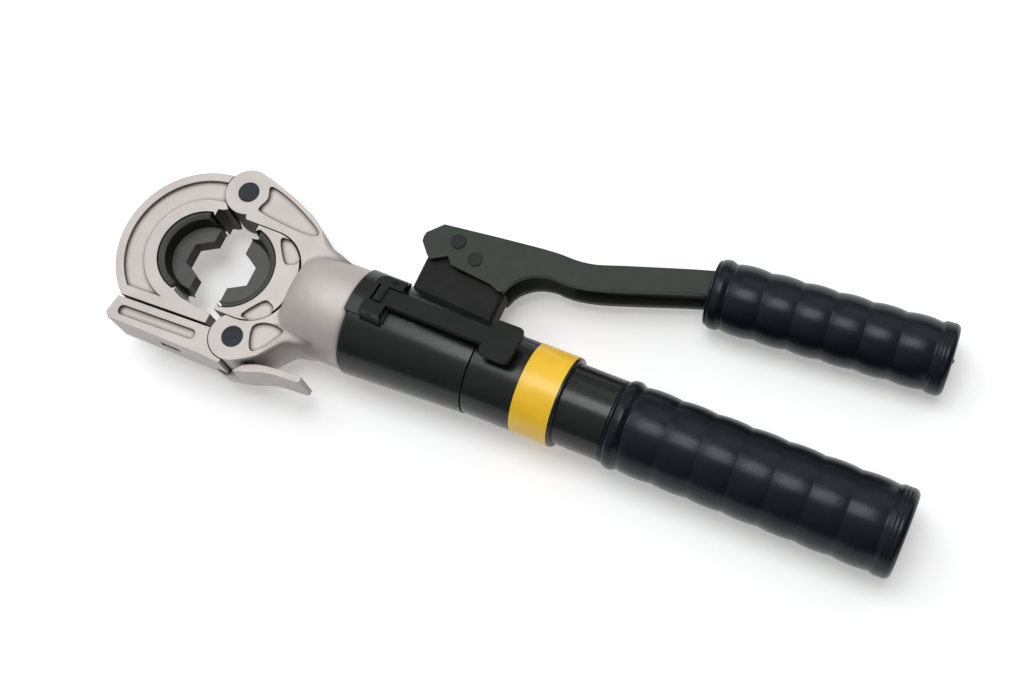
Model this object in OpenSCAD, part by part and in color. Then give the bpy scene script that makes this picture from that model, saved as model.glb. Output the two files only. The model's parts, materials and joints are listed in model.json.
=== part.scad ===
// Hydraulic hand crimping tool: an open head with two half-round dies, worked by a lever pump.
// Millimetres. +X runs from the head to the grips, +Y to the pump lever, +Z out of the head's face.
// The origin is the centre of the jaw's die seat, where the closed dies meet on the tool's axis.

/* [Dies] */
// radius of the round seat of each die
seat_r = 22; // [20:0.5:24]
// gap between the two dies with the ram drawn back
opening = 17.4; // [15:0.2:19]
// across flats of the hexagon that the closed dies press
hex_af = 17; // [13:0.5:20]
// width of the raised rim round a die
die_rim_w = 3.4; // [2.5:0.1:4.5]
// thickness of the web that holds the hexagon
die_web_t = 8; // [5:0.2:11]
// slope of a die's wall from rim to web, measured along the radius
die_slope_w = 1.7; // [1:0.1:3]
// width of the flat face of a die's rim
die_flat_w = 1.8; // [1.2:0.1:2.4]
// depth of the bevel inside that flat face
die_bevel_h = 1.2; // [0.8:0.1:2]
// length of a seat's end that carries no die rim
rim_end = 5.4; // [4.8:0.1:7]
// radius of the stud that keeps a die from turning
stud_r = 2; // [1.5:0.1:2.2]

/* [Head] */
// thickness of fork, jaw, latch and die holder
head_t = 23.4; // [22:0.2:26]
// wall of the swing jaw outside its die seat
jaw_wall = 20.6; // [19.6:0.2:22]
// hinge pin centre behind the jaw seat centre
hinge_behind = 7.3; // [6.5:0.1:8]
// hinge pin centre outside the die seat
hinge_out = 15.2; // [14.6:0.2:16.5]
// latch pin centre behind the open ram seat centre
latch_behind = 18.1; // [17:0.1:19]
// latch pin centre outside the die seat
latch_out = 10.3; // [10:0.1:11.5]
// radius of the hinge pin and the latch pin
pin_r = 5.3; // [4.5:0.1:5.8]
// radius of the ears round both pins
ear_r = 11.8; // [11:0.1:12.4]
// thickness of the jaw's tang between the hinge ears
tang_t = 10; // [8:0.2:12]
// depth of the flat pockets in the head's faces
pocket_depth = 1.6; // [0.6:0.1:2.5]
// width of the jaw's raised outer rim
jaw_rim_w = 4.1; // [3.5:0.1:6]
// width of the sunk crescent in the jaw's face
jaw_pocket_w = 10.2; // [8:0.2:11]
// thickness of the jaw's foot at its thin end
foot_t = 5; // [4:0.1:5.5]

/* [Latch] */
// level of the joint face between fork lug and latch lug below mid plane
lap_below = 4; // [3:0.1:5]
// outer radius of the latch lug
lug_r = 15.5; // [15:0.1:16]
// length of the latch bar ahead of its pin
latch_len = 64.7; // [62:0.1:68]
// depth of the latch bar
latch_w = 11.8; // [11:0.2:13]
// gap between the jaw's foot and the latch bar
foot_gap = 1.2; // [1:0.1:1.6]
// length of the thumb tab behind the latch pin
tab_len = 39; // [36:0.5:42]
// height of the thumb tab
tab_h = 19.5; // [15:0.1:21]
// width of the pocket in the latch's face
latch_pocket_w = 5; // [3:0.1:7]

/* [Ram] */
// wall of the die holder beside its seat
holder_wall = 1.4; // [1.2:0.1:2]
// wall of the die holder behind its seat
holder_back_wall = 11.1; // [10:0.1:13]
// radius of the holder's rounded back corners
holder_round = 19.5; // [16:0.5:20]
// radius of the ram's rod
rod_r = 9; // [8:0.1:10]
// bore radius of the ram's cylinder
bore_r = 16; // [15:0.1:16.5]
// length of the piston
piston_len = 12; // [10:0.2:13]
// wall between head opening and cylinder
front_wall = 7; // [6:0.2:8]

/* [Neck and housing] */
// radius of the head's round neck
neck_r = 24.5; // [24:0.1:25]
// length of the neck's domed front
dome_len = 23; // [20:0.5:26]
// radius of the neck where it meets the head opening
dome_front_r = 15; // [14.4:0.1:16]
// length of the neck in front of the housing
neck_len = 35; // [33:0.5:40]
// radius of the head's spigot inside the housing
spigot_r = 20.9; // [20.4:0.1:21.2]
// length of the head's spigot inside the housing
spigot_len = 22.2; // [22:0.1:24]
// radius of the housing's front rim
collar_r = 25.5; // [25.3:0.1:26]
// radius of the housing's rear end
collar_rear_r = 22; // [21.8:0.1:23]
// length of the housing
collar_len = 61.7; // [60:0.1:66]
// reach of the swivel ring into the spigot, and again into the housing
ring_over = 1.5; // [1.2:0.1:1.8]

/* [Tube and main grip] */
// radius of the reservoir tube's thick part
tube_r = 21.5; // [21:0.1:21.8]
// length of the reservoir tube's thick part
tube_len = 44.8; // [42:0.2:48]
// radius of the tube's thin part
stem_r = 19.4; // [19:0.1:20]
// radius of the tube inside the grip
sleeve_r = 17.4; // [16.8:0.1:17.8]
// wall of the tube inside the grip
sleeve_wall = 2.2; // [1.8:0.1:2.6]
// wall of the tube's thick part
tube_wall = 3.2; // [2.8:0.1:3.6]
// bare length of the thin part ahead of the grip
stem_bare = 23; // [20:0.5:26]
// distance from the housing to the yellow band
band_start = 24.9; // [22:0.1:27]
// width of the yellow band
band_w = 18.4; // [14:0.1:19]
// thickness of the yellow band
band_t = 0.25; // [0.2:0.05:0.5]
// length of the main grip
grip_len = 135; // [130:0.5:145]
// radius of the main grip between its swells
grip_r = 19.5; // [19:0.1:20.5]
// number of swells on the main grip
grip_swells = 7; // [6:1:8]
// number of swells on the lever grip
lever_swells = 6; // [5:1:7]
// height of the swells on both grips
swell_h = 1; // [0.6:0.05:1.2]
// length of the bead round a grip's mouth
bead_len = 6.5; // [5:0.1:8]
// length of the flange at a grip's closed end
flange_len = 9.5; // [8:0.1:11]
// height of bead and flange above their grip
flange_h = 1; // [0.8:0.1:1.6]

/* [Pump] */
// fulcrum pin behind the housing's front rim
fulcrum_behind = 28.2; // [27.5:0.1:29]
// fulcrum pin above the tool's axis
fulcrum_up = 51.2; // [50.5:0.1:53]
// plunger pin behind the fulcrum pin
plunger_arm = 11.4; // [11.2:0.1:12]
// plunger pin below the fulcrum pin
plunger_drop = 5.5; // [5:0.1:6]
// radius of the fulcrum pin
fulcrum_r = 3; // [2.5:0.1:3.2]
// radius of the plunger pin
plunger_pin_r = 2.5; // [2:0.1:2.6]
// radius of the pump plunger
plunger_r = 4; // [3.5:0.1:4.2]
// pump block behind the housing's front rim
block_behind = 16; // [15.4:0.1:16.4]
// length of the pump block
block_len = 42.8; // [42:0.2:43.4]
// height of the pump block's top behind the fulcrum above the axis
block_top = 38.4; // [37.4:0.1:38.5]
// fall of the block's top towards the rear
block_fall = 1.8; // [1:0.1:3]
// rounding of the block's upright edges
block_round = 2.5; // [1.5:0.1:4]
// radius of a check valve's ball
ball_r = 2; // [1.8:0.1:2.1]
// radius of a check valve's bore
ball_bore_r = 2.4; // [2.3:0.1:2.6]
// radius of the oil channels
channel_r = 1; // [0.8:0.1:1.2]

/* [Pump lever] */
// length scale of the lever's cheeks
lever_len = 134; // [126:0.5:142]
// thickness of a cheek
cheek_t = 3; // [2.5:0.1:3.4]
// clear width between the cheeks
cheek_gap = 14; // [13.8:0.1:15]
// tilt of the lever grip to the tool's axis in degrees
lever_grip_tilt = 4; // [2:0.2:6]
// length of the lever grip
lever_grip_len = 112; // [106:0.5:118]
// radius of the lever grip between its swells
lever_grip_r = 15.6; // [15:0.1:16.4]
// radius of the lever's core in the grip
core_r = 9; // [8:0.1:10]

/* [Release lever] */
// lean of the release lever from the top towards the pump lever in degrees
release_lean = 16.5; // [14:0.5:18]
// release lever's pivot behind the housing's front rim
pivot_behind = 12.3; // [11.5:0.1:13]
// radius of the pivot pin
pivot_r = 1.2; // [1:0.1:1.3]
// width of the release lever's arm
release_w = 9.2; // [8:0.2:10]
// thickness of the release lever
release_t = 2.6; // [2:0.1:3]
// distance from the pivot to the lever's pad
pad_behind = 53.6; // [52:0.1:54]
// length of the pad
pad_len = 15; // [12:0.2:17]
// width of the pad
pad_w = 20; // [16:0.2:21]
// length of the saddle's lug beside the lever's pivot
lug_len = 10.4; // [9.5:0.1:11]
// width of that lug
lug_w = 7; // [6:0.1:8]
// length of the saddle's plate on the side of the pump lever
plate_len = 13.7; // [13:0.1:15]
// width of that plate
plate_w = 5.3; // [5:0.1:6]
// distance from the pivot to the release pin
release_pin_behind = 17; // [16:0.1:18]
// radius of the release pin
release_pin_r = 2.4; // [2:0.1:2.6]
// thickness of the saddle over the housing's front rim
saddle_over = 1.1; // [0.9:0.1:1.4]
// overhang of the saddle in front of the housing
saddle_lip = 1.4; // [1:0.1:1.8]
// reach of the saddle round the housing towards the pump lever in degrees
saddle_to_lever = 41; // [38:0.5:44]
// reach of the saddle round the housing away from the pump lever in degrees
saddle_from_lever = 25; // [22:0.5:30]
// radius of the saddle's screw
saddle_screw_r = 1.1; // [0.9:0.1:1.2]

/* [Fits] */
// clearance of pieces that stay together
seat_gap = 0.02; // [0.01:0.01:0.04]
// radial clearance of a pin, rod or plunger that moves in its bore
run_gap = 0.05; // [0.03:0.01:0.08]
// clearance between faces that move past each other
move_gap = 0.4; // [0.35:0.05:0.5]
// clearance of faces that only come near each other
face_gap = 0.1; // [0.08:0.01:0.12]

/* [Hidden] */
$fn = 64;

// one overrun for every cut
overrun = 1;
nickel = [0.76, 0.74, 0.72];
bright = [0.82, 0.82, 0.82];
burnished = [0.25, 0.25, 0.24];
blued = [0.17, 0.19, 0.23];
black = [0.1, 0.1, 0.11];
olive = [0.25, 0.27, 0.24];
rubber = [0.1, 0.11, 0.14];
yellow = [0.95, 0.73, 0.1];
brass = [0.78, 0.62, 0.3];

// places in the head
head_half = head_t / 2;
tang_half = tang_t / 2;
hinge = [hinge_behind, seat_r + hinge_out];
latch_pivot = [opening + latch_behind, -seat_r - latch_out];
jaw_r = seat_r + jaw_wall;
holder_half = seat_r + holder_wall;
cavity_half = holder_half + move_gap + run_gap;
holder_back = opening + seat_r + holder_back_wall;
cavity_back = holder_back + 3 * move_gap;
cavity_round = holder_round + move_gap;
lap_z = -lap_below;
face_z = head_half - move_gap / 4;
// the lips at the ends of a die seat, in shares of the seat's radius
lip_x = 0.13 * seat_r;
lip_r = 0.91 * seat_r;
lip_w = 0.1 * seat_r;
// the jaw's lower face and the latch's upper face lean alike
foot_end = 0.9 * seat_r;
lean_rise = 0.1 * seat_r;
foot_face_y = latch_pivot[1] + lean_rise / 2;

// stations along the axis
neck_blend = cavity_back + dome_len;
collar_front = cavity_back + neck_len;
spigot_end = collar_front + spigot_len;
plug_front = spigot_end - 0.42 * spigot_len;
collar_rear = collar_front + collar_len;
tube_step = collar_rear + tube_len;
grip_front = tube_step + stem_bare;
grip_end = grip_front + grip_len;
cap_t = 0.4 * grip_r;
stem_end = grip_end - cap_t;
cylinder_front = cavity_back + front_wall;
piston_back = plug_front - 2 * move_gap;
piston_front = piston_back - piston_len;
sleeve_in_r = sleeve_r - sleeve_wall;
tube_in_r = tube_r - tube_wall;
tube_bore_end = tube_step - 2 * tube_wall;
rear_spigot_len = 0.5 * tube_r;
ring_x = collar_front + 0.37 * spigot_len;
ring_w = 0.09 * spigot_len;

// places of the pump and the release lever
fulcrum = [collar_front + fulcrum_behind, fulcrum_up];
plunger_at = fulcrum + [plunger_arm, -plunger_drop];
block_front = collar_front + block_behind;
cheek_in = cheek_gap / 2;
cheek_out = cheek_in + cheek_t;
tongue_half = cheek_in - move_gap;
tongue_r = plunger_arm / 2 - move_gap;
eye_half_w = plunger_pin_r + 0.25 * plunger_arm;
head_len = 2.3 * plunger_pin_r;
plunger_end = 0.25 * collar_rear_r;
chamber_end = plunger_end - 0.1 * collar_rear_r;
channel_y = chamber_end + plunger_r / 4;
pivot_x = collar_front + pivot_behind;
release_hub_r = 2.375 * pivot_r;
release_pin_x = pivot_x + release_pin_behind;

// housing radius at a station
function collar_at(x) = collar_r + (collar_rear_r - collar_r) * (x - collar_front) / collar_len;

pivot_up = collar_at(pivot_x) + release_hub_r + move_gap;
release_under = pivot_up - release_t / 2;

// smooth open curve through points, with n steps between two of them
function between(a, b, c, d, t) =
    ((2 * b) + (c - a) * t + (2 * a - 5 * b + 4 * c - d) * t * t + (3 * b - a - 3 * c + d) * t * t * t) / 2;
function smooth(p, n) = [
    for (i = [0 : len(p) - 2])
        for (k = [0 : n - (i == len(p) - 2 ? 0 : 1)])
            between(p[max(i - 1, 0)], p[i], p[i + 1], p[min(i + 2, len(p) - 1)], k / n)
];
function smooth_loop(p, n) = [
    for (i = [0 : len(p) - 1])
        for (k = [0 : n - 1])
            between(p[(i + len(p) - 1) % len(p)], p[i], p[(i + 1) % len(p)], p[(i + 2) % len(p)], k / n)
];
function back_to_front(p) = [for (i = [len(p) - 1 : -1 : 0]) p[i]];
// points given as shares of a span from one corner to another
function in_span(shares, from, to) = [
    for (s = shares) [from[0] + s[0] * (to[0] - from[0]), from[1] + s[1] * (to[1] - from[1])]
];
// points given as shares of one length about a centre
function about(shares, size, at) = [for (s = shares) at + size * s];

// flat shape raised between two levels
module slab(from, to) {
    translate([0, 0, from])
        linear_extrude(to - from)
            children();
}

// upright cylinder between two levels
module post(at, r, from, to) {
    translate([at[0], at[1], from])
        cylinder(r = r, h = to - from);
}

// round bar along the tool's axis
module x_rod(r, from, to) {
    translate([from, 0, 0])
        rotate([0, 90, 0])
            cylinder(r = r, h = to - from);
}

module x_ring(r_out, r_in, from, to) {
    difference() {
        x_rod(r_out, from, to);
        x_rod(r_in, from - overrun, to + overrun);
    }
}

// round bar across the tool, towards the pump lever
module y_rod(r, x, from, to) {
    translate([x, from, 0])
        rotate([-90, 0, 0])
            cylinder(r = r, h = to - from);
}

// turned body about the axis, its half section drawn as [radius, station]
module x_turned() {
    rotate([0, 90, 0])
        rotate_extrude()
            children();
}

// half section with both outer corners rounded, drawn as [radius, station]
module flange_half(r, from, to, round_r) {
    translate([0, from + round_r])
        square([r, to - from - 2 * round_r]);
    translate([0, from])
        square([r - round_r, to - from]);
    for (s = [from + round_r, to - round_r])
        translate([r - round_r, s])
            circle(r = round_r);
}

// bar with its two rear corners rounded
module back_rounded(front, back, half, r) {
    translate([front, -half])
        square([back - r - front, 2 * half]);
    translate([front, r - half])
        square([back - front, 2 * (half - r)]);
    for (s = [-1, 1])
        translate([back - r, s * (half - r)])
            circle(r = r);
}

// rectangle with round corners about the origin
module round_rect(w, h, r) {
    translate([-w / 2, r - h / 2])
        square([w, h - 2 * r]);
    translate([r - w / 2, -h / 2])
        square([w - 2 * r, h]);
    for (i = [-1, 1])
        for (k = [-1, 1])
            translate([i * (w / 2 - r), k * (h / 2 - r)])
                circle(r = r);
}

// least distance of a coil's wire to itself, measured between ring centres half a curl apart or more
function least_gap(middles, wire_r) = min([
    for (i = [0 : len(middles) - 5])
        for (k = [i + 4 : len(middles) - 1])
            norm(middles[i] - middles[k])
]) - 2 * wire_r;

// coil spring along +Z from a formula: rings of six points, eight rings to a curl
module coil(mean_r, wire_r, curls, length) {
    steps = floor(8 * curls);
    rise = (length - 2 * wire_r) / steps;
    middles = [for (i = [0 : steps]) [mean_r * cos(45 * i), mean_r * sin(45 * i), wire_r + rise * i]];
    echo(curls = curls, least_gap = least_gap(middles, wire_r));
    points = [
        for (i = [0 : steps])
            for (k = [0 : 5])
                let (reach = mean_r + wire_r * cos(60 * k))
                    [reach * cos(45 * i), reach * sin(45 * i), wire_r + rise * i + wire_r * sin(60 * k)]
    ];
    sides = [
        for (i = [0 : steps - 1])
            for (k = [0 : 5])
                let (a = 6 * i + k, b = 6 * i + (k + 1) % 6)
                    each [[a, b, b + 6], [a, b + 6, a + 6]]
    ];
    start = [[5, 4, 3, 2, 1, 0]];
    end = [[for (k = [0 : 5]) 6 * steps + k]];
    polyhedron(points = points, faces = concat(sides, start, end), convexity = 10);
}

// release lever's own frame: its upright leans from +Z towards the pump lever
module leaned() {
    rotate([-release_lean, 0, 0])
        children();
}

// outer edges of the two fork arms, in shares from the ear to the neck
upper_arm_shares = [[0, 0], [0.113, 0.054], [0.261, 0.161], [0.426, 0.305], [0.565, 0.455], [0.696, 0.688],
    [0.792, 0.839], [0.87, 0.893], [1, 1]];
lower_arm_shares = [[0, 0], [0.186, 0.104], [0.406, 0.356], [0.569, 0.696], [0.661, 0.826], [0.778, 0.87],
    [1, 1]];
// the arms' flat faces run out where they sink into the round neck
arm_end_y = sqrt(neck_r * neck_r - head_half * head_half) - move_gap;
upper_arm_from = hinge + [0, ear_r];
lower_arm_from = latch_pivot - [0, ear_r];
upper_arm_to = [neck_blend, arm_end_y];
lower_arm_to = [neck_blend, -arm_end_y];

module fork_outline() {
    upper = smooth(in_span(upper_arm_shares, upper_arm_from, upper_arm_to), 3);
    lower = smooth(in_span(lower_arm_shares, lower_arm_from, lower_arm_to), 3);
    translate(hinge)
        circle(r = ear_r);
    translate(latch_pivot)
        circle(r = ear_r);
    polygon(concat(upper, back_to_front(lower), [latch_pivot, hinge]));
}

// sunk fields beside the pins, in shares of the same spans
upper_pocket_shares = [[0.131, 0.196], [0.217, 0.205], [0.4, 0.357], [0.609, 0.607], [0.635, 0.731],
    [0.539, 0.776], [0.348, 0.749], [0.157, 0.687], [0.131, 0.607], [0.157, 0.41]];
lower_pocket_shares = [[0.171, 0.853], [0.311, 1.044], [0.529, 1.044], [0.545, 0.896],
    [0.373, 0.452], [0.265, 0.418]];

module arm_pockets() {
    polygon(smooth_loop(in_span(upper_pocket_shares, upper_arm_from, upper_arm_to), 3));
    polygon(smooth_loop(in_span(lower_pocket_shares, lower_arm_from, lower_arm_to), 3));
}

// both flat faces of the head, cut to the pockets' depth
module face_cuts(top) {
    for (s = [-1, 1])
        translate([0, 0, s * (top - pocket_depth / 2 + overrun / 2)])
            linear_extrude(pocket_depth + overrun, center = true)
                children();
}

dome_rise = neck_r - dome_front_r;
dome_arc_r = (dome_len * dome_len + dome_rise * dome_rise) / (2 * dome_rise);

module neck_half() {
    intersection() {
        translate([neck_r - dome_arc_r, neck_blend])
            circle(r = dome_arc_r, $fn = 128);
        translate([0, cavity_back])
            square([neck_r, dome_len]);
    }
    translate([0, neck_blend])
        square([neck_r, collar_front - neck_blend - move_gap]);
    translate([0, neck_blend])
        square([spigot_r, spigot_end - neck_blend]);
}

spring_pocket_r = pin_r + 0.3 * ear_r;
spring_pocket_h = 0.5 * ear_r;
rod_seal_w = 0.35 * front_wall;
rod_seal_x = cavity_back + 0.4 * front_wall;
rod_seal_r = rod_r + 0.22 * rod_r;

module head_body() {
    color(nickel)
        difference() {
            union() {
                slab(-head_half, head_half)
                    fork_outline();
                x_turned()
                    neck_half();
            }
            slab(-head_t, head_t)
                back_rounded(-jaw_r, cavity_back, cavity_half, cavity_round);
            post(hinge, ear_r + move_gap, -tang_half - move_gap, tang_half + move_gap);
            post(hinge, pin_r + seat_gap, -head_t, head_t);
            post(latch_pivot, pin_r + seat_gap, -head_t, head_t);
            post(latch_pivot, lug_r + move_gap, -head_t, lap_z);
            post(latch_pivot, spring_pocket_r, lap_z - overrun, lap_z + spring_pocket_h);
            x_rod(rod_r + run_gap, cavity_back - overrun, spigot_end);
            x_rod(rod_seal_r + seat_gap, rod_seal_x, rod_seal_x + rod_seal_w);
            x_rod(bore_r, cylinder_front, spigot_end + overrun);
            x_ring(spigot_r + overrun, spigot_r - ring_over, ring_x - 2 * face_gap,
                ring_x + ring_w + 2 * face_gap);
            face_cuts(head_half)
                arm_pockets();
        }
}

module hinge_pin() {
    color(blued)
        post(hinge, pin_r, -head_half, head_half);
}

module latch_pin() {
    color(blued)
        post(latch_pivot, pin_r, -head_half, head_half);
}

module rod_seal() {
    color(black)
        x_ring(rod_seal_r, rod_r + run_gap, rod_seal_x + seat_gap, rod_seal_x + rod_seal_w - seat_gap);
}

// lips that keep a die at the ends of its seat, for the jaw's side
module seat_lips() {
    for (s = [-1, 1])
        polygon([
            [-lip_x, s * (seat_r + holder_wall / 2)],
            [-lip_x, s * lip_r],
            [-lip_x - lip_w, s * (seat_r - run_gap)],
            [-lip_x - lip_w, s * (seat_r + holder_wall / 2)]
        ]);
}

module seat_hole() {
    difference() {
        circle(r = seat_r);
        seat_lips();
    }
}

// height of the jaw's lower face at a station
function foot_face(x) = foot_face_y + lean_rise * (x - foot_end) / (2 * foot_end + jaw_r / 4);

module jaw_outline() {
    difference() {
        union() {
            intersection() {
                circle(r = jaw_r, $fn = 128);
                polygon([
                    [-lip_x, jaw_r + overrun],
                    [-jaw_r - overrun, jaw_r + overrun],
                    [-jaw_r - overrun, foot_face(-jaw_r)],
                    [-lip_x, foot_face(-lip_x)]
                ]);
            }
            polygon([
                [-lip_x - overrun, foot_face(-lip_x)],
                [-lip_x - overrun, -seat_r],
                [-lip_x, -seat_r - run_gap],
                [lip_x - move_gap, -cavity_half - move_gap],
                [foot_end, foot_face(foot_end) + foot_t],
                [foot_end, foot_face(foot_end)]
            ]);
            polygon([
                [-lip_x - overrun, seat_r + holder_wall],
                [0, cavity_half + move_gap],
                [hinge[0] / 4, hinge[1] - ear_r],
                [-lip_x - overrun, hinge[1] - ear_r / 2]
            ]);
        }
        seat_hole();
    }
}

module jaw_crescent() {
    intersection() {
        difference() {
            circle(r = jaw_r - jaw_rim_w, $fn = 128);
            circle(r = jaw_r - jaw_rim_w - jaw_pocket_w, $fn = 128);
        }
        polygon([
            [-jaw_r, foot_face(-jaw_r) + foot_t],
            [-lip_x, foot_face(-lip_x) + foot_t],
            [-seat_r / 2, 0],
            [hinge[0], hinge[1]],
            [-lip_x, jaw_r],
            [-jaw_r, jaw_r]
        ]);
    }
}

stud_angle = 42;
stud_in = seat_r - 0.6 * die_rim_w;
stud_out = seat_r + 0.3 * jaw_wall;

// bar along the stud's line, for the jaw's side
module stud_bar(r, from, to) {
    rotate([0, 0, 180 - stud_angle])
        x_rod(r, from, to);
}

module swing_jaw() {
    color(nickel)
        difference() {
            union() {
                difference() {
                    slab(-face_z, face_z)
                        jaw_outline();
                    post(hinge, ear_r + move_gap, tang_half, head_t);
                    post(hinge, ear_r + move_gap, -head_t, -tang_half);
                    face_cuts(face_z)
                        jaw_crescent();
                }
                slab(-tang_half, tang_half)
                    intersection() {
                        union() {
                            jaw_outline();
                            translate(hinge)
                                circle(r = ear_r - run_gap);
                        }
                        circle(r = hinge[1] + ear_r, $fn = 128);
                    }
            }
            post(hinge, pin_r + run_gap, -head_t, head_t);
            stud_bar(stud_r + seat_gap, seat_r - overrun, stud_out + seat_gap);
        }
}

die_r = seat_r - run_gap;
die_in_r = die_r - die_rim_w;
die_face = face_z - move_gap;

// half die for the jaw's side, its parting face on the seat's centre line
module half_die() {
    difference() {
        rotate_extrude()
            polygon([
                [0, -die_web_t / 2],
                [die_in_r - die_slope_w, -die_web_t / 2],
                [die_in_r, die_bevel_h - die_face],
                [die_r - die_flat_w, -die_face],
                [die_r, -die_face],
                [die_r, die_face],
                [die_r - die_flat_w, die_face],
                [die_in_r, die_face - die_bevel_h],
                [die_in_r - die_slope_w, die_web_t / 2],
                [0, die_web_t / 2]
            ]);
        translate([-face_gap, -seat_r, -head_t])
            cube([2 * seat_r, 2 * seat_r, 2 * head_t]);
        for (s = [-1, 1])
            translate([-rim_end, s * seat_r - die_rim_w - lip_w / 2, -head_t])
                cube([2 * rim_end, 2 * die_rim_w + lip_w, 2 * head_t]);
        slab(-head_t, head_t)
            rotate(90)
                circle(d = hex_af / cos(30), $fn = 6);
        stud_bar(stud_r + seat_gap, stud_in - seat_gap, seat_r + overrun);
    }
}

module jaw_die() {
    color(burnished)
        half_die();
}

module jaw_die_stud() {
    color(bright)
        stud_bar(stud_r, stud_in, stud_out);
}

// turns the jaw's side into the ram's side, ram drawn back
module ram_side() {
    translate([opening, 0, 0])
        mirror([1, 0, 0])
            children();
}

module ram_die() {
    color(burnished)
        ram_side()
            half_die();
}

module ram_die_stud() {
    color(bright)
        ram_side()
            stud_bar(stud_r, stud_in, stud_out);
}

module holder_outline() {
    difference() {
        back_rounded(opening + lip_x, holder_back, holder_half, holder_round);
        translate([opening, 0])
            mirror([1, 0])
                seat_hole();
    }
}

// sunk fields behind the holder's seat, in shares of the seat's radius
holder_pocket_shares = [[0.76, 0.93], [0.92, 1], [1.2, 0.92], [1.38, 0.6], [1.22, 0.47], [1.06, 0.5]];

module holder_pockets() {
    points = about(holder_pocket_shares, seat_r, [opening, 0]);
    for (s = [-1, 1])
        polygon(smooth_loop([for (p = points) [p[0], s * p[1]]], 3));
}

screw_head_r = 0.55 * rod_r;
screw_r = 0.33 * rod_r;
screw_head_h = 0.45 * holder_back_wall;
screw_len = 1.2 * bore_r;
screw_seat_x = opening + seat_r + screw_head_h + run_gap;

module die_holder() {
    color(nickel)
        difference() {
            slab(-face_z, face_z)
                holder_outline();
            face_cuts(face_z)
                holder_pockets();
            x_rod(screw_head_r + seat_gap, opening, screw_seat_x);
            x_rod(screw_r + seat_gap, opening, holder_back + overrun);
            ram_side()
                stud_bar(stud_r + seat_gap, seat_r - overrun, stud_out + seat_gap);
        }
}

module holder_screw() {
    color(burnished)
        difference() {
            union() {
                x_rod(screw_head_r, screw_seat_x - screw_head_h, screw_seat_x);
                x_rod(screw_r, screw_seat_x - seat_gap, screw_seat_x + screw_len);
            }
            translate([screw_seat_x - screw_head_h - overrun, 0, 0])
                rotate([0, 90, 0])
                    cylinder(r = 0.6 * screw_head_r, h = screw_head_h / 2 + overrun, $fn = 6);
        }
}

seal_w = 0.3 * piston_len;
seal_x = piston_front + 0.35 * piston_len;
seal_in_r = 0.83 * bore_r;

module ram_piston() {
    color(bright)
        difference() {
            union() {
                x_rod(rod_r, holder_back, piston_back);
                x_rod(bore_r - run_gap, piston_front, piston_back);
            }
            x_ring(bore_r + overrun, seal_in_r, seal_x, seal_x + seal_w);
            x_rod(screw_r + seat_gap, holder_back - overrun, screw_seat_x + screw_len + seat_gap);
        }
}

module piston_seal() {
    color(black)
        x_ring(bore_r - run_gap, seal_in_r + seat_gap, seal_x + seat_gap, seal_x + seal_w - seat_gap);
}

ram_wire_r = 0.07 * bore_r;

module ram_spring() {
    color(burnished)
        translate([cylinder_front + seat_gap, 0, 0])
            rotate([0, 90, 0])
                coil((rod_r + bore_r) / 2, ram_wire_r, 4.5, piston_front - cylinder_front - 2 * seat_gap);
}

// lower outline of the latch, ahead of and under its pin
module latch_bar() {
    nose = latch_pivot[0] - latch_len;
    top_front = foot_face(nose + latch_w / 7) - foot_gap;
    bar_low = 0.92 * lug_r;
    polygon([
        [nose, top_front - 0.8 * latch_w],
        [nose + latch_w / 7, top_front],
        [latch_pivot[0] - 0.85 * ear_r, foot_face(latch_pivot[0] - 0.85 * ear_r) - foot_gap],
        [latch_pivot[0] - 0.85 * ear_r, latch_pivot[1] - 0.3 * ear_r],
        [latch_pivot[0], latch_pivot[1] - ear_r],
        [latch_pivot[0], latch_pivot[1] - bar_low],
        [latch_pivot[0] - ear_r, latch_pivot[1] - bar_low + foot_gap / 2],
        [nose + latch_w / 5, top_front - latch_w]
    ]);
}

module latch_lug() {
    translate(latch_pivot) {
        circle(r = pin_r + 0.24 * ear_r);
        intersection() {
            circle(r = lug_r);
            translate([-lug_r, -2 * lug_r])
                square([2 * lug_r, 2 * lug_r - foot_gap]);
        }
    }
}

// thumb tab in shares of its length about the latch pin
tab_shares = [[0.24, -0.26], [0.33, -0.215], [0.4, -0.19], [0.5, -0.165], [0.7, -0.14], [0.97, -0.12],
    [1, -0.155], [0.97, -0.205], [0.7, -0.225], [0.5, -0.26], [0.3, -0.335], [0.16, -0.37]];

module latch_tab() {
    polygon(smooth(about(tab_shares, tab_len, latch_pivot), 3));
}

latch_slot_len = 0.93 * latch_w;
latch_slot_x = latch_pivot[0] - 0.49 * latch_len;

module latch() {
    pocket_x = latch_pivot[0] - 0.595 * latch_len;
    pocket_lean = atan(lean_rise / (2 * foot_end + jaw_r / 4));
    color(nickel)
        difference() {
            union() {
                difference() {
                    slab(-face_z, face_z)
                        latch_bar();
                    post(latch_pivot, ear_r + move_gap, lap_z - move_gap, head_t);
                }
                slab(-face_z, lap_z - move_gap)
                    latch_lug();
                difference() {
                    slab(-face_z, tab_h - face_z)
                        latch_tab();
                    post(latch_pivot, ear_r + 2 * move_gap, lap_z - move_gap, head_t);
                }
            }
            post(latch_pivot, pin_r + run_gap, -head_t, head_t);
            face_cuts(face_z)
                translate([pocket_x, foot_face(pocket_x) - foot_gap - 0.52 * latch_w])
                    rotate(pocket_lean)
                        round_rect(0.65 * latch_len, latch_pocket_w, 0.45 * latch_pocket_w);
            translate([latch_slot_x - latch_slot_len / 2, latch_pivot[1] - 2 * lug_r, -1.5 * pocket_depth])
                cube([latch_slot_len, 1.15 * lug_r + pocket_depth, 3 * pocket_depth]);
        }
}

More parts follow.
